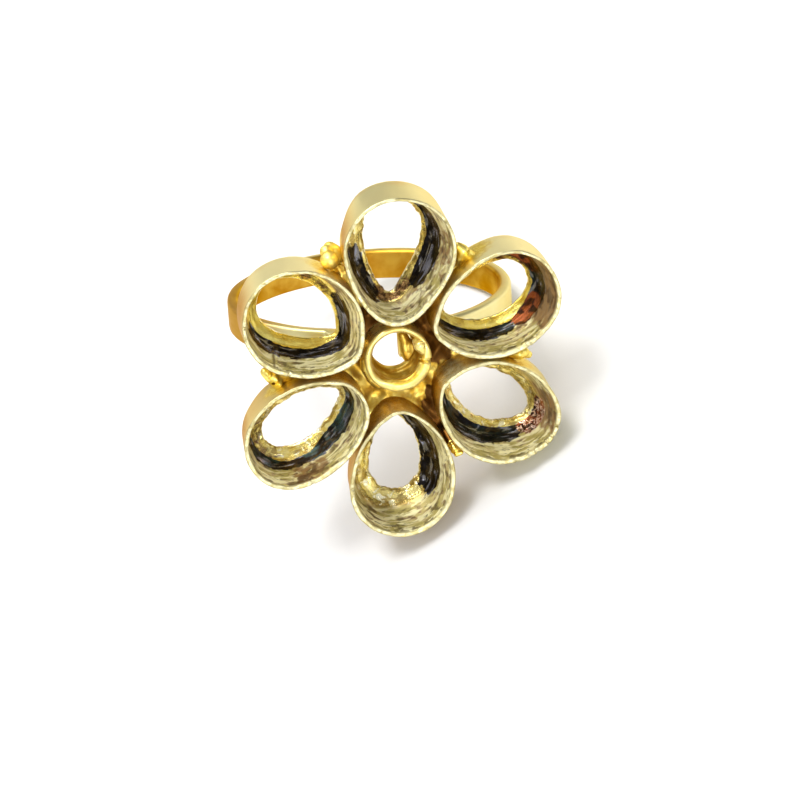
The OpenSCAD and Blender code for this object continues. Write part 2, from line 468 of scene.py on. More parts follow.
def flow_along(outer, rows, seed):
    """Coordinates in millimetres along a cup's outline (as x and y of a circle) and its section."""
    flat = arc_points(outer, 0)
    steps = np.hypot(*(np.roll(flat, -1, 0) - flat).T)
    along = np.concatenate(((0,), np.cumsum(steps)[:-1])) / steps.sum() * 2 * np.pi
    radius = steps.sum() / (2 * np.pi)
    section = np.column_stack((rows[:, 0] + rows[:, 1] * LEDGE_W, rows[:, 2]))
    down = np.concatenate(((0,), np.cumsum(np.hypot(*np.diff(section, axis=0).T))))
    place = on_circle(along) * radius + (5 * seed, 0)
    return np.column_stack((np.tile(place, (len(rows), 1)), np.repeat(down, len(outer))))


def shape_cup(cup, rows, outer, normal):
    """A cup's points, ring by ring of its wall's section, and each one's share of the ledge."""
    hole = hole_points(cup)
    lean = 1 - lobes_at(direction_of(normal), [LEAN_IN])
    points = []
    share = []
    for row in rows:
        part = np.clip(row[1], 0, 1) ** lean
        flat = arc_points(outer, row[0]) * (1 - part)[:, None] + hole * part[:, None]
        flat = flat @ flat_turn(cup.points_to) + (cup.x, cup.y)
        points.append(np.column_stack((flat, np.full(len(outer), -row[2]))))
        share.append(part)
    return np.concatenate(points), np.concatenate(share)


def direction_of(flat):
    return np.degrees(np.arctan2(flat[:, 1], flat[:, 0]))


def make_cup(name, seed, material):
    cup = CUPS[name]
    look = PLAIN_LOOK | CUP_LOOKS[name]
    rows = dense_wall()
    outer = cup_rows(cup)
    normal = on_circle(outer[:, 3]) @ flat_turn(cup.points_to)
    points, share = shape_cup(cup, rows, outer, normal)
    depth, ledge, lip, inside, scale = np.repeat(rows[:, 2:], len(outer), axis=0).T
    angle = direction_of(points[:, :2] - points[:, :2].mean(0))
    out = np.tile(normal, (len(rows), 1))
    smooth = points.copy()
    section = (share, depth, ledge, inside)
    wear_wall(points, out, angle, section, look, seed)
    wear_ledge(points, smooth, out, angle, section, look, seed)
    outside = 1 - inside
    faced = direction_of(out)
    tucked = outside * fall_off(3.5, 7.5, np.hypot(points[:, 0], points[:, 1]))
    gold = look["gold"] + look["gold_right"] * facing(angle, *RIGHT_SIDE)
    scale = scale * fall_off(gold - 0.16, gold + 0.16, share)
    seam = [(towards, SEAM_HALF_WIDTH, 1) for towards in look["seam"]]
    add_piece(name + "_wall", points, ring_faces(len(rows), len(outer)), material, "pale_gold",
              (name,), flow=flow_along(outer, rows, seed), low=depth / CUP_H, ledge=ledge,
              lip=lip * (share > 0.5), inside=inside, tucked=tucked, shaded=tucked * look["shaded"],
              rim=fall_off(0.02, 0.06, depth),
              black=scale * lobes_at(angle, look["black"]),
              copper=scale * lobes_at(angle, look["copper"]),
              brown=np.maximum(ledge, 0.8 * lip) * lobes_at(angle, look["brown"]),
              smoke=inside * lobes_at(angle, look["smoke"]),
              seam=inside * lobes_at(angle, seam),
              gilt=outside * np.maximum(near_solder(points), lobes_at(angle, look["gilt"])),
              # warm: a painted warm reflection, on one side of the outer wall and over whole cups by
              # orange
              warm=outside * np.maximum(facing(faced, *WARM_SIDE), look["orange"]),
              # pale: painted light on the upper side of the outer wall
              pale=outside * look["pale"] * facing(faced, *PALE_SIDE),
              blue=look["blue"], ragged=look["ragged"],
              # corner: painted shade where the inner wall meets the ledge
              corner=smooth_step(0.2, 1.0, inside) * smooth_step(0.5, 0.8, depth / CUP_H))


# Band


def band_section(outer_r):
    """Rounded rectangle of radius and width points, from the finger hole outwards."""
    inner = FINGER_R + BAND_CORNER
    outer = outer_r - BAND_CORNER
    side = BAND_W / 2 - BAND_CORNER
    rows = []
    for radius, across, start in ((inner, -side, 180), (outer, -side, 270), (outer, side, 0),
                                  (inner, side, 90)):
        for angle in np.radians(np.linspace(start, start + 90, BAND_CORNER_POINTS)):
            rows.append((radius + BAND_CORNER * np.cos(angle), across + BAND_CORNER * np.sin(angle)))
    return np.array(rows)


def make_band(material):
    """A hoop open under the round cup; towards its ends it swells flat against the cups."""
    mid_r = FINGER_R + BAND_T / 2
    start = np.arcsin(BAND_RIGHT_END / mid_r)
    end = 2 * np.pi + np.arcsin(BAND_LEFT_END / mid_r)
    points = []
    for angle in np.linspace(start, end, BAND_RINGS):
        across = mid_r * np.sin(angle)
        edge = BAND_RIGHT_END if across > (BAND_LEFT_END + BAND_RIGHT_END) / 2 else BAND_LEFT_END
        near_end = fall_off(0.75, 1.15, abs(across - edge) / PAD_REACH)
        outer_r = FINGER_R + BAND_T
        if np.cos(angle) > 0.5:
            outer_r += near_end * (outer_r / np.cos(angle) - outer_r)
        for radius, along in band_section(outer_r):
            points.append((radius * np.sin(angle), BAND_Y + along, BAND_Z + radius * np.cos(angle)))
    points = np.array(points)
    count = len(points) // BAND_RINGS
    points[:, 1] += wear_at("band_bend", points)
    faces = ring_faces(BAND_RINGS, count, closed=False)
    faces.append(tuple(range(count))[::-1])
    faces.append(tuple(range(len(points) - count, len(points))))
    radius = np.hypot(points[:, 0], points[:, 2] - BAND_Z)
    add_piece("band_hoop", points, faces, material, "band_gold", ("band",),
              hollow=fall_off(FINGER_R + 0.1, FINGER_R + 0.35, radius),
              # warm: a painted warm reflection on the band's left side
              warm=smooth_step(5.5, 9.0, -points[:, 0]))


# Round cup


def round_cup_section(thick, top):
    """One section of the round cup as radius and height, its half-round rim `thick` across."""
    bead = min(ROUND_BEAD, 0.6 * thick)
    middle = ROUND_R - thick / 2
    rows = [(ROUND_HOLE_R, -CUP_H), (ROUND_R - 0.2, -CUP_H), (ROUND_R - 0.05, -CUP_H + 0.1),
            (ROUND_R - 0.02, -CUP_H + 0.5), (ROUND_R - 0.03, top - 1.2), (ROUND_R - 0.03, top - 0.6)]
    for turn in np.radians(np.linspace(-20, 200, 23)):
        rows.append((middle + thick / 2 * np.cos(turn), top - bead + bead * np.sin(turn)))
    under = min(ROUND_R - thick + 0.06, ROUND_SEAT_R)
    rows += [(under, top - bead - 0.3), (ROUND_SEAT_R - 0.04, top - 1.3),
             (ROUND_SEAT_R - 0.05, -CUP_H + ROUND_FLOOR_T + 0.3),
             (ROUND_SEAT_R - 0.12, -CUP_H + ROUND_FLOOR_T + 0.06),
             (ROUND_HOLE_R + 0.05, -CUP_H + ROUND_FLOOR_T - 0.05),
             (ROUND_HOLE_R, -CUP_H + ROUND_FLOOR_T - 0.3)]
    return np.array(rows)


def fill_rows(rows):
    """The closed section's rows with each step between them cut into equal parts."""
    parts = ROUND_ROW_PARTS
    return np.array([a + (b - a) * k / parts
                     for a, b in zip(rows, np.roll(rows, -1, 0)) for k in range(parts)])


def make_round_cup(material):
    """A melted little tube: its rim is thick towards the bottom and split on the right."""
    turns = np.linspace(0, 360, ROUND_COLUMNS, endpoint=False)
    thick = ROUND_THICK + lobes_at(turns, ROUND_THICKER, np.add)
    top = -ROUND_DROP + lobes_at(turns, ROUND_RAISED, np.add)
    columns = []
    for angle, here in zip(np.radians(turns), zip(thick, top)):
        reach, height = fill_rows(round_cup_section(*here)).T
        columns.append(np.column_stack((reach * np.cos(angle),
                                        ROUND_CENTRE_Y + reach * np.sin(angle), height)))
    points = np.stack(columns, 1).reshape(-1, 3)
    above_foot = smooth_step(-CUP_H + 0.2, -CUP_H + 0.8, points[:, 2])
    points[:, 2] += wear_at("round_height", points) * above_foot
    points[:, 0] += wear_at("round_across", points)
    points[:, 1] += wear_at("round_along", points)
    reach = np.hypot(points[:, 0], points[:, 1] - ROUND_CENTRE_Y)
    # Painted shade inside the cup, and a painted sheen on the rest of it
    shade = 0.9 * fall_off(ROUND_SEAT_R - 0.02, ROUND_SEAT_R + 0.12, reach)
    add_piece("round_cup_wall", points, ring_faces(len(columns[0]), ROUND_COLUMNS)[::-1], material,
              "bright_gold", ("round_cup",), shade=shade, polish=1 - shade)


# Solder


# Melted blobs. Each is a few strokes, and a stroke is balls (x, y, z, radius) that run into each
# other
BLOBS = {
    "granule_pair": [
        [(-3.9, 7.04, -2.15, 0.63)], [(-4.0, 7.46, -2.8, 0.44)], [(-3.75, 7.6, -3.1, 0.42),
         (-3.45, 7.35, -3.1, 0.46), (-3.25, 6.9, -3.1, 0.44)]],
    "bead_upper_right": [
        [(4.5, 7.22, -1.75, 0.28), (4.8, 6.86, -1.8, 0.44), (4.72, 6.45, -2.0, 0.5),
         (4.62, 5.95, -2.3, 0.46), (4.3, 5.5, -2.6, 0.42)], [(4.9, 6.6, -1.9, 0.46),
         (5.4, 6.18, -2.1, 0.48), (5.95, 6.05, -2.5, 0.46)]],
    "bead_left": [
        [(-8.7, 0.1, -1.65, 0.32), (-8.3, -0.28, -1.65, 0.44), (-7.98, -0.66, -1.8, 0.42),
         (-7.84, -1.02, -1.75, 0.3), (-7.76, -1.2, -1.62, 0.2)], [(-7.9, -0.42, -2.0, 0.48),
         (-7.3, -0.46, -2.2, 0.44), (-6.7, -0.48, -2.5, 0.4), (-6.2, -0.5, -2.9, 0.36)],
        [(-8.5, -0.06, -1.32, 0.2)], [(-8.06, -0.46, -1.4, 0.22)], [(-7.8, -0.84, -1.55, 0.2)]],
    "bead_right": [
        [(8.45, -0.34, -1.35, 0.3), (8.05, -0.37, -1.2, 0.4), (7.55, -0.37, -1.5, 0.36),
         (7.05, -0.36, -1.9, 0.34)], [(8.35, -0.45, -1.5, 0.32), (8.75, -0.72, -1.9, 0.26)]],
    "bead_lower_right": [
        [(3.78, -6.74, -1.12, 0.16), (3.46, -6.82, -1.14, 0.18)], [(3.36, -6.64, -1.44, 0.25),
         (3.6, -6.6, -1.4, 0.27), (3.84, -6.54, -1.38, 0.2)], [(3.5, -6.6, -1.46, 0.3),
         (3.34, -6.4, -1.85, 0.36), (3.22, -6.1, -2.2, 0.38), (3.06, -5.7, -2.6, 0.38)],
        [(3.36, -6.48, -1.46, 0.15)], [(3.28, -6.22, -1.6, 0.13), (3.28, -6.26, -1.95, 0.2)]],
}

# Depth in millimetres below which a blob is painted brown as shade, and a pit painted dark in
# one of them
SHADED_BELOW = {"bead_lower_right": 1.55}
PITS = {"bead_left": (-8.24, -0.66)}

# Smaller lumps on the round cup and the band's end, that no solid of their own stands for
LUMPS = {
    "round_cup_bead": [
        [(1.5, 0.95, -1.1, 0.42), (1.7, 0.6, -1.18, 0.32)], [(1.3, 1.18, -1.3, 0.28)]],
    "round_cup_skirt": [
        [(-1.35, -1.65, -1.95, 0.34), (-1.75, -1.15, -1.75, 0.36), (-2.02, -0.6, -1.95, 0.34),
         (-2.08, -0.05, -2.15, 0.3)]],
    "band_end_lump": [
        [(0.78, 0.85, -4.15, 0.34), (0.9, 0.35, -4.15, 0.42), (0.95, -0.2, -4.12, 0.44),
         (1.1, -0.65, -4.08, 0.42), (1.45, -0.95, -3.95, 0.36)], [(1.35, 0.1, -4.05, 0.4),
         (1.45, -0.5, -3.95, 0.4)]],
}
# Painted shade, painted sheen where they are polished, and mattness of the blobs and lumps,
# where they aren't plain
PLAIN_FINISH = dict(shade=0.0, polish=0.0, matt=0.0)
FINISHES = {
    "granule_pair": dict(matt=1.0),
    "round_cup_bead": dict(polish=1.0),
    "band_end_lump": dict(shade=0.6),
}
# Steps from a ball to the next, size in millimetres of the melted grid, rounds of smoothing
STROKE_PARTS = 4
BLOB_VOXEL = 0.045
BLOB_SMOOTHING = 20


def run_together(strokes):
    """All the balls of the strokes, with more of them between each ball and the next."""
    balls = []
    for stroke in strokes:
        for here, there in zip(stroke, stroke[1:]):
            for part in np.linspace(0, 1, STROKE_PARTS, endpoint=False):
                balls.append(np.array(here) * (1 - part) + np.array(there) * part)
        balls.append(stroke[-1])
    return balls


def fuse_balls(balls):
    """Points and faces of the balls, melted into one smooth skin."""
    parts = []
    for x, y, z, radius in balls:
        bpy.ops.mesh.primitive_ico_sphere_add(subdivisions=4, radius=radius, location=(x, y, z))
        parts.append(bpy.context.object)
    bpy.ops.object.select_all(action="DESELECT")
    for part in parts:
        part.select_set(True)
    bpy.context.view_layer.objects.active = parts[0]
    bpy.ops.object.join()
    melt = bpy.context.object
    bpy.ops.object.transform_apply(location=True, rotation=True, scale=True)
    remesh = melt.modifiers.new("melt", "REMESH")
    remesh.mode = "VOXEL"
    remesh.voxel_size = BLOB_VOXEL
    soften = melt.modifiers.new("soften", "SMOOTH")
    soften.factor = 0.5
    soften.iterations = BLOB_SMOOTHING
    shaped = melt.evaluated_get(bpy.context.evaluated_depsgraph_get()).to_mesh()
    points = np.array([v.co for v in shaped.vertices])
    faces = [tuple(p.vertices) for p in shaped.polygons]
    bpy.data.objects.remove(melt, do_unlink=True)
    return points, faces


def make_blob(name, strokes, material, nodes):
    points, faces = fuse_balls(run_together(strokes))
    points += wear_at("blob_dents", points, len(name))[:, None]
    points += wear_at("blob_grain", points, len(name))[:, None]
    # Painted shade: brown below a given depth, and round a pit in one blob
    darkened = smooth_step(0.0, 0.4, -points[:, 2] - SHADED_BELOW.get(name, CUP_H))
    if name in PITS:
        away = np.hypot(*(points[:, :2] - PITS[name]).T)
        darkened = np.maximum(darkened, fall_off(0.08, 0.15, away))
    add_piece(name + "_solder", points, faces, material, "bright_gold", nodes, gloom=darkened,
              **(PLAIN_FINISH | FINISHES.get(name, {})))


def cup_outline(name):
    """Outer outline of a cup, in the ring's frame."""
    cup = CUPS[name]
    return arc_points(cup_rows(cup), 0) @ flat_turn(cup.points_to) + (cup.x, cup.y)


def is_inside(spot, outline):
    """Whether a flat spot lies inside a closed outline, by counting the edges to its right."""
    a = outline
    b = np.roll(outline, -1, 0)
    across = (a[:, 1] > spot[1]) != (b[:, 1] > spot[1])
    rise = np.where(a[:, 1] == b[:, 1], 1, b[:, 1] - a[:, 1])
    meet = a[:, 0] + (spot[1] - a[:, 1]) / rise * (b[:, 0] - a[:, 0])
    return np.count_nonzero(across & (meet > spot[0])) % 2 == 1


def wall_gaps(spots):
    """Distance from flat spots to the nearest and second nearest wall, negative inside a cup."""
    turns = np.linspace(0, 2 * np.pi, 90, endpoint=False)
    round_wall = on_circle(turns) * ROUND_R + (0, ROUND_CENTRE_Y)
    gaps = []
    for line in [cup_outline(name) for name in CUPS] + [round_wall]:
        away = np.array([np.hypot(*(line - spot).T).min() for spot in spots])
        within = np.array([is_inside(spot, line) for spot in spots])
        gaps.append(np.where(within, -away, away))
    return np.sort(gaps, axis=0)[:2]


def sheet_faces(wet):
    """Quads of a grid whose corners are all wet, without loose or single ones."""
    cells = wet[:-1, :-1] & wet[1:, :-1] & wet[1:, 1:] & wet[:-1, 1:]
    for _ in range(BORDER_TRIMS):
        padded = np.pad(cells, 1).astype(int)
        sides = padded[2:, 1:-1] + padded[:-2, 1:-1] + padded[1:-1, 2:] + padded[1:-1, :-2]
        cells = cells & (sides > 1)
    number = np.arange(wet.size).reshape(wet.shape)
    return [(number[i, j], number[i + 1, j], number[i + 1, j + 1], number[i, j + 1])
            for i, j in np.argwhere(cells)]


def smooth_border(flat, border):
    """Takes the grid's steps out of a sheet's border, given as pairs of point numbers."""
    starts, ends = np.array(border).T
    for _ in range(BORDER_SOFTENING):
        total = np.zeros_like(flat)
        weight = np.zeros((len(flat), 1))
        for here, there in ((starts, ends), (ends, starts)):
            np.add.at(total, here, flat[there])
            np.add.at(weight, here, 1)
        edge = weight[:, 0] > 0
        flat[edge] = 0.5 * flat[edge] + 0.5 * total[edge] / weight[edge]
    return flat


def soften(values, faces):
    """Draws each point's value half way to the mean of the faces round it."""
    corners = np.array(faces)
    means = values[corners].mean(1)
    total = np.zeros(len(values))
    weight = np.zeros(len(values))
    for column in corners.T:
        np.add.at(total, column, means)
        np.add.at(weight, column, 1)
    return 0.5 * values + 0.5 * total / weight


def web_height(nearest, second):
    """Height of the solder's surface, which climbs the walls a little."""
    near = np.maximum(nearest, 0)
    slot = near + np.maximum(second, 0)
    climb = 0.55 * np.exp(-near / 0.45) * np.exp(-slot / 2.5) + 0.35 * np.exp(-slot / 0.6)
    return -CUP_H + WEB_TOP + climb


def make_web(material):
    """A lumpy sheet of solder that closes the gaps round the round cup and climbs the walls."""
    side = np.arange(-WEB_EDGE, WEB_EDGE + WEB_STEP, WEB_STEP)
    across, along = np.meshgrid(side, side, indexing="ij")
    spots = np.column_stack((across.ravel(), along.ravel()))
    nearest, second = wall_gaps(spots)
    radius = np.hypot(*spots.T)
    reach = WEB_REACH * (1 - 0.75 * smooth_step(4.4, WEB_EDGE, radius))
    wet = (nearest > -0.3) & (second < reach) & (radius < WEB_EDGE)
    faces = np.array(sheet_faces(wet.reshape(across.shape)))
    kept, faces = np.unique(faces, return_inverse=True)
    faces = [tuple(int(k) for k in face) for face in faces.reshape(-1, 4)]
    directed = {pair for face in faces for pair in zip(face, face[1:] + face[:1])}
    border = sorted((a, b) for a, b in directed if (b, a) not in directed)
    flat = smooth_border(spots[kept], border)
    top = web_height(*wall_gaps(flat))
    for _ in range(WEB_SOFTENING):
        top = soften(top, faces)
    spread = np.column_stack((flat, np.zeros(len(flat))))
    top += wear_at("web_lumps", spread) + wear_at("web_grain", spread)
    upper = np.column_stack((flat, top))
    under = -CUP_H + WEB_UNDER + wear_at("web_under", upper)
    lower = np.column_stack((flat, np.minimum(under, top - WEB_THINNEST)))
    points = np.concatenate((upper, lower))
    count = len(kept)
    faces += [tuple(k + count for k in face[::-1]) for face in faces]
    faces += [(b, a, a + count, b + count) for a, b in border]
    # Painted shade: darker the deeper the sheet lies, and brown in its gaps, a crack and a slot
    add_piece("flower_solder", points, faces, material, "bright_gold",
              shade=smooth_step(2.6, 3.8, -points[:, 2]),
              gloom=np.concatenate((web_gloom(flat), np.zeros(count))))


def web_gloom(spots):
    """Painted brown shade on the sheet: right, upper left, one crack and the lower right slot."""
    radius = np.hypot(*spots.T)
    turn = direction_of(spots)
    gloom = np.maximum(facing(turn, 18, 56), 0.8 * facing(turn, 125, 35))
    gloom = gloom * fall_off(3.2, 4.8, radius)
    from_crack = (spots - CRACK_AT) * CRACK_STRETCH
    crack = fall_off(0.25, 0.7, np.hypot(*from_crack.T))
    slot = facing(turn, -62, 8) * smooth_step(3.6, 4.4, radius)
    return np.maximum(np.maximum(gloom, crack), slot)


# Materials


# Sockets of the Mix node that carry colours
MIX_A = 6
MIX_B = 7
MIX_RESULT = 2


class Graph:
    """The nodes of a material or the world; a value may be a number, a socket or a name."""

    def __init__(self, owner, shader="Principled BSDF"):
        owner.use_nodes = True
        self.owner = owner
        self.tree = owner.node_tree
        self.shader = self.tree.nodes[shader]
        self.noises = {}

    def put(self, socket, value):
        """Sets a constant, or links another socket or the noise or field of that name."""
        if isinstance(value, str):
            value = self.noises[value] if value in self.noises else self.field(value)
        if isinstance(value, bpy.types.NodeSocket):
            self.tree.links.new(value, socket)
        else:
            socket.default_value = value

    def node(self, kind, **inputs):
        node = self.tree.nodes.new("ShaderNode" + kind)
        for name, value in inputs.items():
            self.put(node.inputs[name], value)
        return node

    def field(self, name, output="Fac"):
        node = self.node("Attribute")
        node.attribute_name = name
        return node.outputs[output]

    def coordinates(self, output):
        return self.node("TexCoord").outputs[output]

    def stretch(self, vector, scale):
        return self.node("Mapping", Vector=vector, Scale=scale).outputs["Vector"]

    def noise(self, vector, scale, detail=3.0, distortion=0.0):
        node = self.node("TexNoise", Vector=vector, Scale=scale, Detail=detail,
                         Distortion=distortion)
        return node.outputs["Fac"]

    def math(self, operation, a, b=0.0, c=0.0):
        node = self.node("Math")
        node.operation = operation
        for socket, value in zip(node.inputs, (a, b, c)):
            self.put(socket, value)
        return node.outputs[0]

    def times(self, a, b):
        return self.math("MULTIPLY", a, b)

    def plus(self, a, b):
        return self.math("ADD", a, b)

    def scaled(self, a, factor, extra):
        """a times factor, plus extra."""
        return self.math("MULTIPLY_ADD", a, factor, extra)

    def ramp(self, value, low, high, start=0.0, end=1.0):
        node = self.node("MapRange", **{"Value": value, "From Min": low, "From Max": high,
                                        "To Min": start, "To Max": end})
        node.interpolation_type = "SMOOTHSTEP"
        return node.outputs["Result"]

    def mix(self, share, a, b):
        """Colour a where share is 0, colour b where it is 1."""
        node = self.node("Mix")
        node.data_type = "RGBA"
        self.put(node.inputs["Factor"], share)
        self.put(node.inputs[MIX_A], a)
        self.put(node.inputs[MIX_B], b)
        return node.outputs[MIX_RESULT]

    def bump(self, height, depth_mm):
        node = self.node("Bump", Height=height, Distance=depth_mm * MM, Strength=1.0)
        self.put(self.shader.inputs["Normal"], node.outputs["Normal"])

    def finish(self, colour, roughness, metallic=1.0):
        self.put(self.shader.inputs["Base Color"], colour)
        self.put(self.shader.inputs["Roughness"], roughness)
        self.put(self.shader.inputs["Metallic"], metallic)
        if isinstance(metallic, bpy.types.NodeSocket) or metallic > 0:
            self.put(self.shader.inputs["Specular Tint"], EDGE_TINT)
        return self.owner


STRAW_GOLD = (0.84, 0.77, 0.4, 1)
KHAKI_GOLD = (0.66, 0.58, 0.26, 1)
OLIVE_GOLD = (0.5, 0.43, 0.15, 1)
CREAM_GOLD = (0.9, 0.85, 0.52, 1)
WARM_GOLD = (0.76, 0.54, 0.09, 1)
DEEP_GOLD = (0.76, 0.42, 0.06, 1)
AMBER_GOLD = (0.44, 0.2, 0.02, 1)
HOLLOW_GOLD = (0.46, 0.2, 0.006, 1)
HOLLOW_LIGHT = (0.66, 0.4, 0.05, 1)
SHADE_GOLD = (0.48, 0.27, 0.02, 1)
LIGHT_GOLD = (0.96, 0.9, 0.54, 1)
PALE_GLINT = (0.95, 0.9, 0.66, 1)
DIRTY_GOLD = (0.42, 0.3, 0.1, 1)
OLD_GOLD = (0.82, 0.68, 0.26, 1)
BRIGHT_GOLD = (0.93, 0.76, 0.2, 1)
RIM_GOLD = (0.66, 0.6, 0.34, 1)
RIM_SHADE = (0.5, 0.43, 0.19, 1)
GAP_BROWN = (0.1, 0.042, 0.008, 1)
BROWN_STAIN_AND_SHADE = (0.12, 0.065, 0.03, 1)
PINK_STAIN = (0.5, 0.36, 0.21, 1)
MAUVE_STAIN_AND_SHADE = (0.31, 0.18, 0.08, 1)
SMUDGE_AND_SHADE = (0.13, 0.1, 0.045, 1)
BLACK_SCALE = (0.012, 0.010, 0.010, 1)
BROWN_SCALE = (0.07, 0.05, 0.025, 1)
SCALE_HIGHLIGHT_GREY = (0.22, 0.22, 0.26, 1)
BLUE_SCALE = (0.05, 0.1, 0.11, 1)
EDGE_TINT = (0.85, 0.68, 0.38, 1)
DARK_COPPER = (0.045, 0.018, 0.012, 1)
COPPER = (0.3, 0.085, 0.035, 1)
PINK_COPPER_GLINT = (0.85, 0.62, 0.5, 1)
FLOOR_GREY = (0.74, 0.735, 0.73, 1)
WORLD_DARK = (0.05, 0.045, 0.04, 1)
WORLD_PALE = (0.95, 0.97, 1.0, 1)
# Roughness and metallic of scale and copper, and the floor's grains per metre
BURNT_ROUGH = 0.24
BURNT_METALLIC = 0.92
PAPER_GRAIN = 900.0
# Direction in which the world is pale, size of its dark gaps and how much they count
WORLD_LEAN = (-0.45, -0.25, 0.75)
WORLD_GAPS = 2.6
WORLD_CONTRAST = 2.4
WORLD_STRENGTH = 0.85


def name_cup_noises(g):
    """Gives the graph the noises that the cups' colours share, by place or along a wall."""
    at = g.field("ring_mm", "Vector")
    flow = g.field("flow", "Vector")
    g.noises = {
        "patches": g.noise(at, 0.55, 4.0, 0.6),
        "mottle": g.noise(at, 2.2, 5.0, 0.5),
        "speckle": g.noise(at, 4.2, 3.0, 0.8),
        "clouds": g.noise(at, 1.2, 4.0, 0.4),
        "haze": g.noise(at, 0.9, 2.0, 0.5),
        "grain": g.noise(at, 18.0, 3.0),
        "streaks": g.noise(g.stretch(flow, (0.7, 0.7, 2.6)), 1.0, 5.0, 0.5),
        "lines": g.noise(g.stretch(flow, (0.45, 0.45, 3.4)), 1.0, 3.0, 0.9),
    }


def cup_colour(g, shelf, black, copper):
    """The gold of the walls and the ledge, the scale and copper over it, and painted lip glints."""
    colour = g.mix("inside", outer_wall_colour(g), inner_wall_colour(g))
    colour = g.mix(shelf, colour, ledge_colour(g))
    colour = g.mix(black, colour, scale_colour(g))
    colour = g.mix(copper, colour, copper_colour(g))
    colour = g.mix("rim", colour, g.mix(g.ramp("mottle", 0.38, 0.54), RIM_SHADE, RIM_GOLD))
    # Painted highlight: pale glints streaked along the lip
    lip_glint = g.times(g.ramp("lip", 0.75, 0.95), g.ramp("streaks", 0.48, 0.6))
    return g.mix(lip_glint, colour, PALE_GLINT)


def cup_metal():
    """Satin gold, khaki and scratched inside, with torch scale and stains on the ledge."""
    g = Graph(bpy.data.materials.new("cup_metal"))
    name_cup_noises(g)
    shelf = g.ramp(g.math("MAXIMUM", "ledge", "lip"), 0.2, 0.7)
    edge = g.scaled("streaks", 0.5, g.times("mottle", 0.6))
    copper = g.ramp(g.plus(edge, "copper"), 0.95, 1.09)
    black = g.ramp(g.plus(edge, "black"), 0.97, 1.05)
    darkened = g.math("MAXIMUM", black, copper)
    satin = g.ramp("grain", 0.3, 0.7, 0.3, 0.4)
    rough = g.scaled(shelf, -0.13, satin)
    rough = g.scaled("inside", 0.1, rough)
    rough = g.scaled(darkened, g.math("SUBTRACT", BURNT_ROUGH, rough), rough)
    soft = g.scaled("tucked", 0.7, g.times("pale", 0.6))
    soft = g.math("MAXIMUM", "inside", soft)
    metallic = g.scaled(soft, -0.4, 1.0)
    metallic = g.scaled(darkened, g.math("SUBTRACT", BURNT_METALLIC, metallic), metallic)
    rough = g.scaled("tucked", -0.06, rough)
    scratched = g.times("streaks", g.scaled("inside", 0.6, 0.2))
    rugged = g.times(shelf, g.scaled("ragged", 0.9, 0.1))
    scarred = g.plus(scratched, g.times("mottle", rugged))
    g.bump(g.plus(scarred, g.times("grain", 0.12)), 0.08)
    return g.finish(cup_colour(g, shelf, black, copper), rough, metallic)


def outer_wall_colour(g):
    """Straw gold near the rim, amber lower down and to one side, painted shade between the cups."""
    # Painted shade: deeper amber towards the foot
    deep = g.ramp(g.scaled("patches", 0.8, "low"), 0.95, 1.5, 0.0, 0.7)
    colour = g.mix(deep, STRAW_GOLD, DEEP_GOLD)
    # Painted light: the upper side of the outer wall lighter
    colour = g.mix("pale", colour, LIGHT_GOLD)
    # Painted reflection: warm amber on one side, and over whole cups by their orange
    warm = g.times("warm", g.ramp("low", 0.0, 0.5, 0.75, 1.0))
    colour = g.mix(warm, colour, AMBER_GOLD)
    # Painted shade: darker near the middle of the flower, broken by lighter flecks
    middle_shade = g.times("shaded", g.ramp("low", 0.0, 0.25))
    middle_shade = g.times(middle_shade, g.ramp("mottle", 0.4, 0.58, 0.35, 1.0))
    colour = g.mix(middle_shade, colour, SHADE_GOLD)
    flecks = g.times("tucked", g.ramp("speckle", 0.58, 0.66, 0.0, 0.7))
    colour = g.mix(flecks, colour, WARM_GOLD)
    gilt = g.ramp(g.scaled("mottle", 0.8, "gilt"), 0.6, 1.35)
    return g.mix(gilt, colour, g.mix(g.ramp("speckle", 0.4, 0.6), WARM_GOLD, BRIGHT_GOLD))


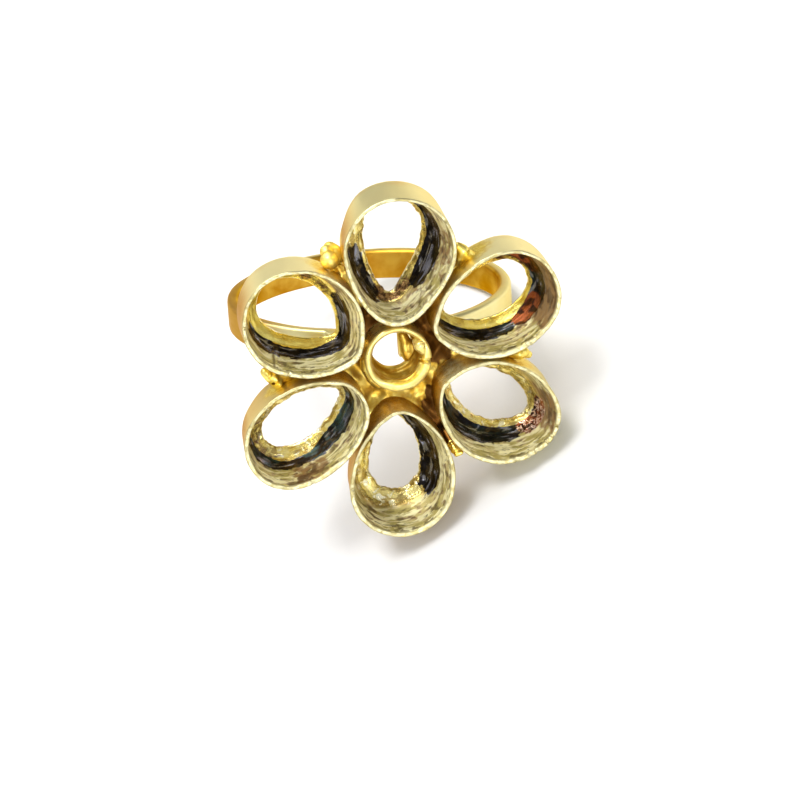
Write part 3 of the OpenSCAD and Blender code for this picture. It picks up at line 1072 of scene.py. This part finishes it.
def inner_wall_colour(g):
    """Khaki, pink patches, painted cream highlights, dark lines along it, soot, painted shade."""
    inner = g.mix(g.ramp("clouds", 0.42, 0.52), PINK_STAIN, KHAKI_GOLD)
    inner = g.mix(g.ramp("patches", 0.44, 0.54), inner, OLIVE_GOLD)
    # Painted highlight: cream streaks along the wall
    inner = g.mix(g.ramp("streaks", 0.47, 0.58), inner, CREAM_GOLD)
    line = g.math("ABSOLUTE", g.math("SUBTRACT", "lines", 0.5))
    dark = g.times(g.ramp(line, 0.002, 0.018, 1.0, 0.0), g.ramp("clouds", 0.5, 0.58))
    inner = g.mix(g.times(dark, 0.85), inner, SMUDGE_AND_SHADE)
    seam = g.scaled("lines", 0.2, "low")
    seam = g.ramp(g.math("ABSOLUTE", g.math("SUBTRACT", seam, 0.3)), 0.004, 0.022, 1.0, 0.0)
    seam = g.times(seam, g.ramp("mottle", 0.44, 0.56, 0.0, 0.9))
    inner = g.mix(seam, inner, SMUDGE_AND_SHADE)
    smudge = g.scaled("clouds", -1.3, g.times("streaks", -0.8))
    inner = g.mix(g.ramp(smudge, -0.98, -0.8, 0.0, 0.85), inner, SMUDGE_AND_SHADE)
    # Painted shade: dark patches just under the rim
    under_rim_shade = g.scaled("low", -2.4, "mottle")
    inner = g.mix(g.ramp(under_rim_shade, 0.34, 0.46, 0.0, 0.8), inner, SMUDGE_AND_SHADE)
    inner = g.mix(g.times("seam", 0.8), inner, SMUDGE_AND_SHADE)
    # Soot where the smoke lobes lie, and painted shade in the corner by the ledge
    soot_and_shade = g.scaled("corner", 0.45, g.times("smoke", 0.75))
    soot_and_shade = g.ramp(g.plus(soot_and_shade, "mottle"), 0.78, 1.06, 0.0, 0.92)
    return g.mix(soot_and_shade, inner, g.mix(g.ramp("clouds", 0.42, 0.55), BROWN_STAIN_AND_SHADE, MAUVE_STAIN_AND_SHADE))


def ledge_colour(g):
    """Clean bright gold, or dirty old gold with painted pale glints where the cup is ragged."""
    clean = g.mix(g.ramp("streaks", 0.34, 0.52), WARM_GOLD, BRIGHT_GOLD)
    dirty = g.mix(g.ramp("streaks", 0.4, 0.54), DIRTY_GOLD, OLD_GOLD)
    # Painted highlight: pale glints where the ledge is ragged
    dirty = g.mix(g.ramp("mottle", 0.55, 0.62, 0.0, 0.9), dirty, PALE_GLINT)
    colour = g.mix(g.ramp("ragged", 0.2, 0.9), clean, dirty)
    brown = g.ramp(g.scaled("mottle", 1.4, "brown"), 1.25, 1.6)
    return g.mix(brown, colour, g.mix(g.ramp("speckle", 0.42, 0.56), BROWN_STAIN_AND_SHADE, MAUVE_STAIN_AND_SHADE))


def scale_colour(g):
    """Black scale, brown patches, painted grey highlights, blue where the torch left it so."""
    scale = g.mix(g.ramp("clouds", 0.5, 0.62, 0.0, 0.8), BLACK_SCALE, BROWN_SCALE)
    # Painted highlight: grey streaks along the scale
    scale = g.mix(g.ramp("streaks", 0.53, 0.62), scale, SCALE_HIGHLIGHT_GREY)
    blue = g.times("blue", g.ramp("haze", 0.44, 0.6))
    return g.mix(blue, scale, BLUE_SCALE)


def copper_colour(g):
    """Red-brown copper between dark patches, with a few small pink spots painted as glints."""
    copper = g.mix(g.ramp("clouds", 0.42, 0.54), DARK_COPPER, COPPER)
    # Painted highlight: pink glints where the cup is ragged
    spots = g.times(g.ramp("speckle", 0.49, 0.57, 0.0, 0.95), g.ramp("ragged", 0.35, 0.7))
    return g.mix(spots, copper, PINK_COPPER_GLINT)


def bright_metal():
    """Melted gold: yellow, orange in patches, painted sheen where polished, painted brown shade."""
    g = Graph(bpy.data.materials.new("bright_metal"))
    at = g.field("ring_mm", "Vector")
    g.noises = {"mottle": g.noise(at, 1.5, 5.0, 0.5)}
    colour = g.mix(g.ramp("mottle", 0.42, 0.68), BRIGHT_GOLD, WARM_GOLD)
    # Painted shade: darker gold deep in the web, inside the round cup and on the band's end lump
    dark = g.times("shade", g.ramp("mottle", 0.38, 0.54, 0.6, 1.0))
    colour = g.mix(dark, colour, SHADE_GOLD)
    # Painted sheen: lighter gold where polished, on the round cup and its bead
    polished = g.ramp("polish", 0.0, 1.0)
    colour = g.mix(g.times(polished, 0.22), colour, LIGHT_GOLD)
    # Painted shade: brown in the web's gaps, a crack and a slot, deep solder and a pit
    colour = g.mix(g.ramp(g.plus("gloom", "mottle"), 0.85, 1.15), colour, GAP_BROWN)
    g.bump(g.noise(at, 3.0, 4.0), 0.008)
    rough = g.scaled("shade", 0.1, g.ramp("mottle", 0.3, 0.7, 0.26, 0.36))
    rough = g.scaled("matt", 0.16, rough)
    return g.finish(colour, rough, g.scaled(polished, -0.25, 0.9))


def band_metal():
    """Satin band: straw outside, deep orange where its inner face lies in its own shade."""
    g = Graph(bpy.data.materials.new("band_metal"))
    at = g.field("ring_mm", "Vector")
    patches = g.noise(at, 0.5, 4.0, 0.4)
    brushed = g.noise(g.stretch(at, (0.8, 7.0, 0.8)), 1.0, 4.0)
    outside = g.mix(g.ramp(patches, 0.35, 0.8, 0.0, 0.6), STRAW_GOLD, OLD_GOLD)
    # Painted reflection: warm amber on the band's left side
    outside = g.mix(g.times("warm", 0.85), outside, AMBER_GOLD)
    inner = g.mix(g.ramp(patches, 0.3, 0.7), HOLLOW_GOLD, HOLLOW_LIGHT)
    colour = g.mix("hollow", outside, inner)
    g.bump(brushed, 0.006)
    return g.finish(colour, g.ramp(brushed, 0.3, 0.7, 0.36, 0.44))


def floor_paper():
    g = Graph(bpy.data.materials.new("floor_paper"))
    g.bump(g.noise(g.coordinates("Object"), PAPER_GRAIN, 2.0), 0.02)
    return g.finish(FLOOR_GREY, 0.85, metallic=0.0)


# Stage, lights and camera


def camera_frame():
    """Turn from the ring's frame to the camera's: right, up and back as rows."""
    turns = [axis_turn(axis, CAMERA_TILTS[axis]) for axis in "XYZ"]
    return turns[0] @ turns[1] @ turns[2]


def add_camera():
    data = bpy.data.cameras.new("camera")
    data.sensor_width = SENSOR
    data.lens = SENSOR * PIXELS_PER_MM * CAMERA_DISTANCE / FRAME_PIXELS
    data.clip_start = CLIP_START
    camera = add_object("camera", data)
    stand = Matrix.Translation((-CAMERA_OFFSET[0], -CAMERA_OFFSET[1], CAMERA_DISTANCE))
    place = REST @ camera_frame().inverted() @ stand
    turn = place.to_3x3().normalized().to_4x4()
    camera.matrix_world = Matrix.Translation(place.translation) @ turn
    bpy.context.scene.camera = camera


def from_camera(right, up, back):
    """A direction given as the camera sees it, in the row's frame."""
    turn = REST.to_3x3().normalized() @ camera_frame().to_3x3().inverted()
    return turn @ Vector((right, up, back)).normalized()


def add_light(name, direction, distance, size, watts):
    """An area light that shines on the origin; distance and size are in metres."""
    data = bpy.data.lights.new(name, "AREA")
    data.shape = "RECTANGLE"
    data.size, data.size_y = size
    data.energy = watts
    light = add_object(name, data)
    light.location = direction * distance
    light.rotation_euler = direction.to_track_quat("Z", "Y").to_euler()


def add_floor():
    mesh = bpy.data.meshes.new("floor")
    corners = [(x * FLOOR_HALF, y * FLOOR_HALF, 0) for x, y in ((-1, -1), (1, -1), (1, 1), (-1, 1))]
    mesh.from_pydata(corners, [], [(0, 1, 2, 3)])
    mesh.materials.append(floor_paper())
    add_object("floor", mesh)


def add_world():
    """A soft studio: pale above, darker to the right, with broad dark gaps in its light."""
    world = bpy.data.worlds.new("studio")
    g = Graph(world, "Background")
    place = g.coordinates("Generated")
    lean = g.node("VectorMath")
    lean.operation = "DOT_PRODUCT"
    g.put(lean.inputs[0], place)
    g.put(lean.inputs[1], WORLD_LEAN)
    gaps = g.noise(place, WORLD_GAPS, 0.0)
    pale = g.ramp(g.scaled(gaps, WORLD_CONTRAST, lean.outputs["Value"]), 0.9, 1.6)
    g.put(g.shader.inputs["Color"], g.mix(pale, WORLD_DARK, WORLD_PALE))
    g.put(g.shader.inputs["Strength"], WORLD_STRENGTH)
    bpy.context.scene.world = world


bpy.context.scene.view_settings.view_transform = "Standard"
add_camera()
add_floor()
add_world()
add_light("key", from_camera(-0.45, 0.55, 0.75), distance=0.6, size=(0.22, 0.22), watts=2.4)
add_light("front", from_camera(0.15, -0.35, 1.0), distance=0.6, size=(0.12, 0.26), watts=0.9)
add_light("low_front", Vector((-0.1, -1.0, 0.16)).normalized(), distance=0.5,
          size=(0.6, 0.14), watts=0.3)
add_light("overhead", Vector((0.1, 0.6, 0.9)).normalized(), distance=1.2, size=(1.0, 0.8),
          watts=9.0)

cup_gold = cup_metal()
bright_gold = bright_metal()
for index, cup_name in enumerate(CUPS):
    make_cup(cup_name, SEEDS_PER_CUP * index + 1, cup_gold)
make_band(band_metal())
make_round_cup(bright_gold)
for blob, balls in (BLOBS | LUMPS).items():
    make_blob(blob, balls, bright_gold, nodes=(blob,) if blob in BLOBS else ())
make_web(bright_gold)
